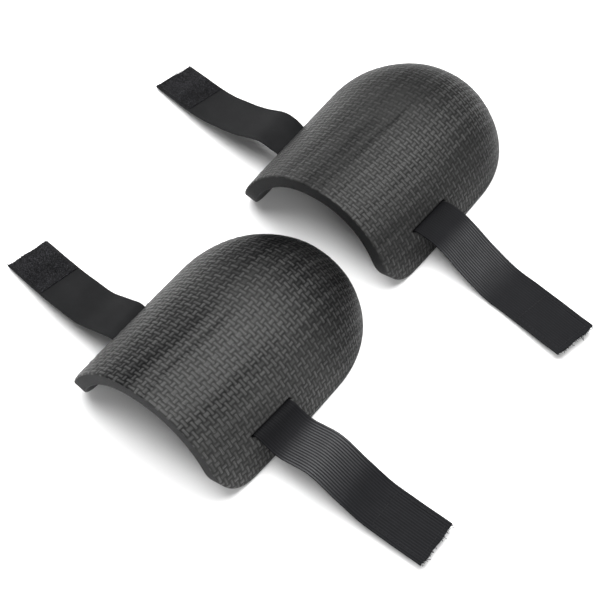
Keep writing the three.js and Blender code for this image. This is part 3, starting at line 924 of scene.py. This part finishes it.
def finish_shader(tree, shader, color, roughness, normal, specular=0.5, sheen=0.0, sheen_rough=0.5):
    tree.links.new(color, shader.inputs["Base Color"])
    tree.links.new(roughness.socket, shader.inputs["Roughness"])
    tree.links.new(normal, shader.inputs["Normal"])
    shader.inputs["Specular IOR Level"].default_value = specular
    shader.inputs["Sheen Weight"].default_value = sheen
    shader.inputs["Sheen Roughness"].default_value = sheen_rough


def foam_skin():
    """Closed-cell foam with a woven pattern pressed in its skin: fine strands, matt grooves, glossier tops;
    the tops are painted lighter and the grooves painted darker, as light and shade.
    """
    material, tree, shader, place = new_material("embossed foam skin")
    across, along, _ = flat_place(tree)
    # tone is the painted light map laid on the mesh: painted highlights and shade, around 1
    strength, tone, _ = flat_place(tree, "look")
    raised = woven(across, along)
    wander = noise(tree, place, 160, 2) * 1.4
    strands = cosine((across / 0.95 + wander) * (2 * math.pi)) * 0.5 + 0.5
    fibres = cosine((along / 0.86 + wander) * (2 * math.pi)) * 0.5 + 0.5
    grain = noise(tree, place, 2300, 3)
    cloud = noise(tree, place, 26, 3)
    patches = noise(tree, place, 190, 4)
    stretched = tree.nodes.new("ShaderNodeMapping")
    stretched.inputs["Scale"].default_value = (0.30, 0.010, 1)
    tree.links.new(flat_place(tree)[2], stretched.inputs["Vector"])
    streaks = noise(tree, stretched.outputs[0], 1.0, 3)
    # painted light and shade: the raised weave is painted lighter and its grooves darker, and tone paints
    # broad highlights and shade
    shade = raised * strength * 0.52 + cloud * 0.22 + patches * 0.30 + streaks * 0.55 + grain * 0.12
    level = rise((shade - 0.50) * 0.9 + tone * 1.1 - 0.62, 0.0, 1.1)
    color = mix_color(tree, level, (0.0015, 0.0016, 0.0018), (0.031, 0.0311, 0.0304))
    roughness = raised * -0.20 + patches * 0.14 + grain * 0.08 + streaks * -0.14 + 0.47
    shine = (rise(raised * strength, 0.10, 0.75) * 0.30 + 0.07) * (tone * 0.8 + 0.2)
    tree.links.new(shine.socket, shader.inputs["Specular IOR Level"])
    fine = bump(tree, grain, 0.00008)
    normal = bump(tree, (strands + fibres) * (raised * 0.4 + 0.1), 0.00028, fine)
    finish_shader(tree, shader, color, roughness, normal)
    return material


def foam_cut():
    """The foam where it was cut: duller, with open cells."""
    material, tree, shader, place = new_material("cut foam")
    cells = tree.nodes.new("ShaderNodeTexVoronoi")
    cells.inputs["Scale"].default_value = 2200
    tree.links.new(place, cells.inputs["Vector"])
    cell = Term(tree, cells.outputs["Distance"])
    cloud = noise(tree, place, 60, 3)
    color = mix_color(tree, cloud * 0.6 + cell * 0.5, (0.0045, 0.0046, 0.0049), (0.0115, 0.0117, 0.0124))
    roughness = cloud * 0.15 + 0.68
    finish_shader(tree, shader, color, roughness, bump(tree, cell, 0.00012), 0.25)
    return material


def foam_back():
    """The knee's side of the foam: smooth, with a soft nap and creases."""
    material, tree, shader, place = new_material("foam lining side")
    grain, cloud = noise(tree, place, 1500, 3), noise(tree, place, 40, 3)
    color = mix_color(tree, cloud * 0.7 + grain * 0.4, (0.008, 0.0082, 0.0085), (0.019, 0.0193, 0.020))
    finish_shader(tree, shader, color, cloud * 0.15 + 0.6, bump(tree, grain, 0.00007), 0.25, 0.03)
    return material


def elastic_cloth():
    """Ribbed elastic: satin ribs crossed by fine picks, duller between them, where the grooves are painted
    darker as shade.
    """
    material, tree, shader, place = new_material("ribbed elastic")
    across, along, _ = flat_place(tree)
    pitch = ELASTIC_WIDTH / MM / RIBS
    ribs_across = across / pitch + RIBS / 2
    rib_number = floor(ribs_across)
    local = (ribs_across - rib_number) * 2.0 - 1.0
    rib = round_top(local)
    stagger = side_of(rib_number) * 0.25
    picks = cosine((along / 0.85 + stagger) * (2 * math.pi)) * 0.5 + 0.5
    yarns = cosine((local * 1.5 + along / 2.6) * (2 * math.pi)) * 0.5 + 0.5
    fuzz, cloud = noise(tree, place, 2400, 3), noise(tree, place, 90, 3)
    # painted shade: the grooves between the ribs are darker than the rib tops
    tone = rib * 0.6 + picks * 0.2 + cloud * 0.25 + fuzz * 0.1
    # stretched marks the hump, where the overhead light glints on the ribs: there they are glossier and their
    # tops are painted lighter as highlight
    stretched = rise(along, 16.0, 32.0) * (rise(along, 50.0, 86.0) * -1.0 + 1.0)
    # painted shade: darker over the first 22 mm out of the slot, where the pad's wall shades the strap
    shade = rise(tone, 0.15, 1.05) * (rise(along, 2.0, 22.0) * 0.55 + 0.45)
    color = mix_color(tree, shade, (0.0013, 0.0013, 0.0016), (0.0110, 0.0112, 0.0126))
    # painted highlight: the rib tops over the hump are mixed towards pale grey
    painted_crest_highlight = rise(rib, 0.80, 0.97) * rise(picks + cloud * 0.5, 0.25, 0.9) * stretched
    color = mix_color(tree, painted_crest_highlight * 0.7, color, (0.090, 0.091, 0.095))
    roughness = rib * -0.16 + fuzz * 0.10 + 0.60 - stretched * rib * 0.12
    shine = stretched * 0.09 + 0.05
    tree.links.new(shine.socket, shader.inputs["Specular IOR Level"])
    normal = bump(tree, picks * rib * 0.7 + yarns * 0.3, 0.00008, bump(tree, fuzz, 0.00004))
    finish_shader(tree, shader, color, roughness, normal)
    return material


def tape_cloth():
    """Smooth woven tape: a very fine weave, matt, with a little lint."""
    material, tree, shader, place = new_material("woven tape")
    across, along, _ = flat_place(tree)
    warp = cosine(across * (2 * math.pi / 0.62)) * 0.5 + 0.5
    weft = cosine((along + across * 0.35) * (2 * math.pi / 0.55)) * 0.5 + 0.5
    fuzz, cloud = noise(tree, place, 2600, 3), noise(tree, place, 55, 4)
    lint = rise(noise(tree, place, 900, 2), 0.72, 0.80)
    tone = warp * weft * 0.35 + cloud * 0.5 + fuzz * 0.3
    weave = mix_color(tree, rise(tone, 0.1, 0.95), (0.002, 0.0021, 0.0024), (0.0095, 0.0097, 0.0104))
    color = mix_color(tree, lint * 0.35, weave, (0.12, 0.12, 0.12))
    normal = bump(tree, warp * 0.5 + weft * 0.5, 0.0001, bump(tree, fuzz, 0.00006))
    finish_shader(tree, shader, color, fuzz * 0.12 + 0.72, normal, 0.12, 0.01, 0.6)
    return material


def yarn(name, dark, light, turns, rough, speck=0.0):
    """Twisted thread, or the yarn of a pile with small pale specks mixed into its colour."""
    material, tree, shader, place = new_material(name)
    round_place, along, _ = flat_place(tree)
    twist = cosine(along * (2 * math.pi / turns) + round_place) * 0.5 + 0.5
    cloud = noise(tree, place, 300, 3)
    color = mix_color(tree, twist * 0.5 + cloud * 0.5, dark, light)
    if speck:
        specks = rise(noise(tree, place, 1250, 1), 0.52, 0.62) * speck
        color = mix_color(tree, specks, color, (0.036, 0.036, 0.041))
    finish_shader(tree, shader, color, cloud * 0.2 + rough, bump(tree, twist, 0.00005), 0.15, 0.01, 0.6)
    return material


def pale_floor():
    material, tree, shader, place = new_material("pale floor")
    cloud = noise(tree, place, 5, 2)
    color = mix_color(tree, cloud, (0.86, 0.86, 0.86), (0.88, 0.88, 0.88))
    finish_shader(tree, shader, color, cloud * 0.05 + 0.85, bump(tree, cloud, 0.0001), 0.2)
    return material


# ---- the pieces

PLACES = {"front": (0.0079, -0.2212, 0.0), "rear": (-0.0042, 0.0009, math.radians(1.4))}


def placer(label):
    x, y, turn = PLACES[label]
    spin = np.array([[math.cos(turn), -math.sin(turn), 0], [math.sin(turn), math.cos(turn), 0], [0, 0, 1]])

    def place(points):
        return np.asarray(points) @ spin.T + np.array([x, y, 0])

    return place


def own(piece, node, slot, body=None):
    """Hides the part a piece stands for, if there is one, and attaches the piece to the body it moves with,
    if one is given. slot is not used.
    """
    if node:
        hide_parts(node)
    if body:
        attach(piece, body)


def sewn(strap, kind, body, corners, height, thread, **stitching):
    """A seam on a strap, as a row of separate stitches."""
    lines = seam_lines(strap, corners, height, **stitching)
    radii = [THREAD_RADIUS] * len(lines)
    seam = thread_piece(f"{strap.label}_{kind}_seam", strap.place, lines, radii, thread, sides=6)
    own(seam, f"{strap.label}_{kind}_stitching", "thread", body)


def straps(label, place, looks):
    rng = np.random.default_rng(11 if label == "front" else 23)
    for name in ("elastic", "tape"):
        strap = Strap(label, name)
        strap.place = place
        body = f"{label}_{name}"
        cloth = looks[name]
        middles = [strap.fold / 2, (strap.fold + strap.end_bend) / 2]
        in_slot = -(FOAM / 2 + TAIL_STANDOFF)
        inside = band(f"{body}_inside", strap, -strap.inside_length, in_slot, cloth, step=0.002)
        own(inside, f"{label}_{name}_span", name, f"{label}_pad")
        cuts = [in_slot, *middles, strap.length]
        joints = [(f"{label}_pad", f"{body}_root", -0.001, 0.014),
                  (f"{body}_root", f"{body}_middle", strap.fold - 0.010, strap.fold + 0.010),
                  (f"{body}_middle", f"{body}_end", strap.end_bend - 0.014, strap.end_bend + 0.003)]
        for part, start, stop, (a, b, near, far) in zip(("root", "middle", "end"), cuts, cuts[1:], joints):
            ragged = 0.0009 if part == "end" else 0.0
            piece = band(f"{body}_{part}_length", strap, start, stop, cloth, ragged=ragged)
            own(piece, f"{label}_{name}_tail_{part}", name)
            bend = place(strap.stations(np.array([near, far]))[0])
            tuple(bend[0])
            tuple(bend[1])
            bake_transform(piece)
        end = f"{body}_end"
        lines, radii = loose_ends(strap, rng)
        frays = thread_piece(f"{body}_loose_threads", place, lines, radii, looks["thread"], sides=4)
        own(frays, None, "thread", end)
        stop = strap.length - PATCH_SETBACK
        start = stop - PATCH_LENGTH
        seam = outline(PATCH_WIDTH / 2 - STITCH_INSET, start + STITCH_INSET, stop - STITCH_INSET)
        kind = "hook" if name == "elastic" else "loop"
        back = band(f"{label}_{kind}_backing", strap, start, stop, looks[kind], BACKING_AT[kind],
                    patch_section(PATCH_BACKING))
        own(back, f"{label}_{kind}_patch", kind, end)
        if kind == "hook":
            fine, sides, seam_at = "hooks", 4, HALF_THICK
            lines, radii = hook_lines(strap, start, stop, HOOKS_FROM)
        else:
            fine, sides, seam_at = "loop_pile", 3, PILE_SEAM_AT
            lines, radii = pile_lines(strap, start, stop, PILE_FROM, rng, PILE_LOOPS)
        own(thread_piece(f"{label}_{fine}", place, lines, radii, looks[kind], sides), None, kind, end)
        sewn(strap, kind, end, seam, seam_at, looks["thread"])
        if kind == "loop":
            middle = LAP_LENGTH / 2 - strap.inside_length
            lap = outline(LAP_HALF_WIDTH, middle - LAP_HALF_LENGTH, middle + LAP_HALF_LENGTH)
            sewn(strap, "lap", f"{label}_pad", lap, -HALF_THICK, looks["thread"], bow=-0.0004)


looks = {
    "elastic": elastic_cloth(),
    "tape": tape_cloth(),
    "hook": yarn("plastic hooks", (0.004, 0.004, 0.0045), (0.010, 0.010, 0.011), 0.7, 0.38),
    "loop": yarn("loop pile", (0.0002, 0.0002, 0.0004), (0.0024, 0.0024, 0.0032), 0.5, 0.7, speck=0.8),
    "thread": yarn("sewing thread", (0.003, 0.003, 0.0035), (0.011, 0.011, 0.012), 0.6, 0.5),
}
foam_looks = [foam_skin(), foam_cut(), foam_back()]
for label in ("front", "rear"):
    foam_pad(label, placer(label), foam_looks)
    straps(label, placer(label), looks)

# ---- the stage

FLOOR_REACH, FLOOR_LEVEL = 6, -0.0003
corners = [(x * FLOOR_REACH, y * FLOOR_REACH, 0) for x, y in ((-1, -1), (1, -1), (1, 1), (-1, 1))]
ground = add_object("floor", corners, [(0, 1, 2, 3)], [pale_floor()])
ground.location.z = FLOOR_LEVEL


def soft_light(name, at, size, power):
    """A soft box that points at the middle of the floor."""
    data = bpy.data.lights.new(name, "AREA")
    data.shape = "RECTANGLE"
    data.size, data.size_y = size
    data.energy = power
    lamp = bpy.data.objects.new(name, data)
    lamp.location = at
    lamp.rotation_euler = (-Vector(at)).to_track_quat("-Z", "Y").to_euler()
    bpy.context.scene.collection.objects.link(lamp)


soft_light("overhead", (-0.18, 0.12, 1.50), (1.7, 1.3), 55)
soft_light("far left", (-1.30, 0.45, 0.70), (0.9, 1.2), 9)
soft_light("right", (1.45, -0.55, 0.62), (0.8, 1.0), 19)
world = bpy.data.worlds.new("studio")
world.use_nodes = True
background = world.node_tree.nodes["Background"]
background.inputs[0].default_value = (1, 1, 1, 1)
background.inputs[1].default_value = 0.26
bpy.context.scene.world = world
bpy.context.scene.view_settings.view_transform = "Standard"

camera_data = bpy.data.cameras.new("camera")
camera_data.lens = 85.87
camera_data.sensor_width = 36
camera_data.clip_end = 20
camera = bpy.data.objects.new("camera", camera_data)
camera.location = (0.4109, -0.5652, 0.9346)
camera.rotation_euler = (Vector((0.0163, -0.0443, 0)) - camera.location).to_track_quat("-Z", "Y").to_euler()
bpy.context.scene.collection.objects.link(camera)
bpy.context.scene.camera = camera
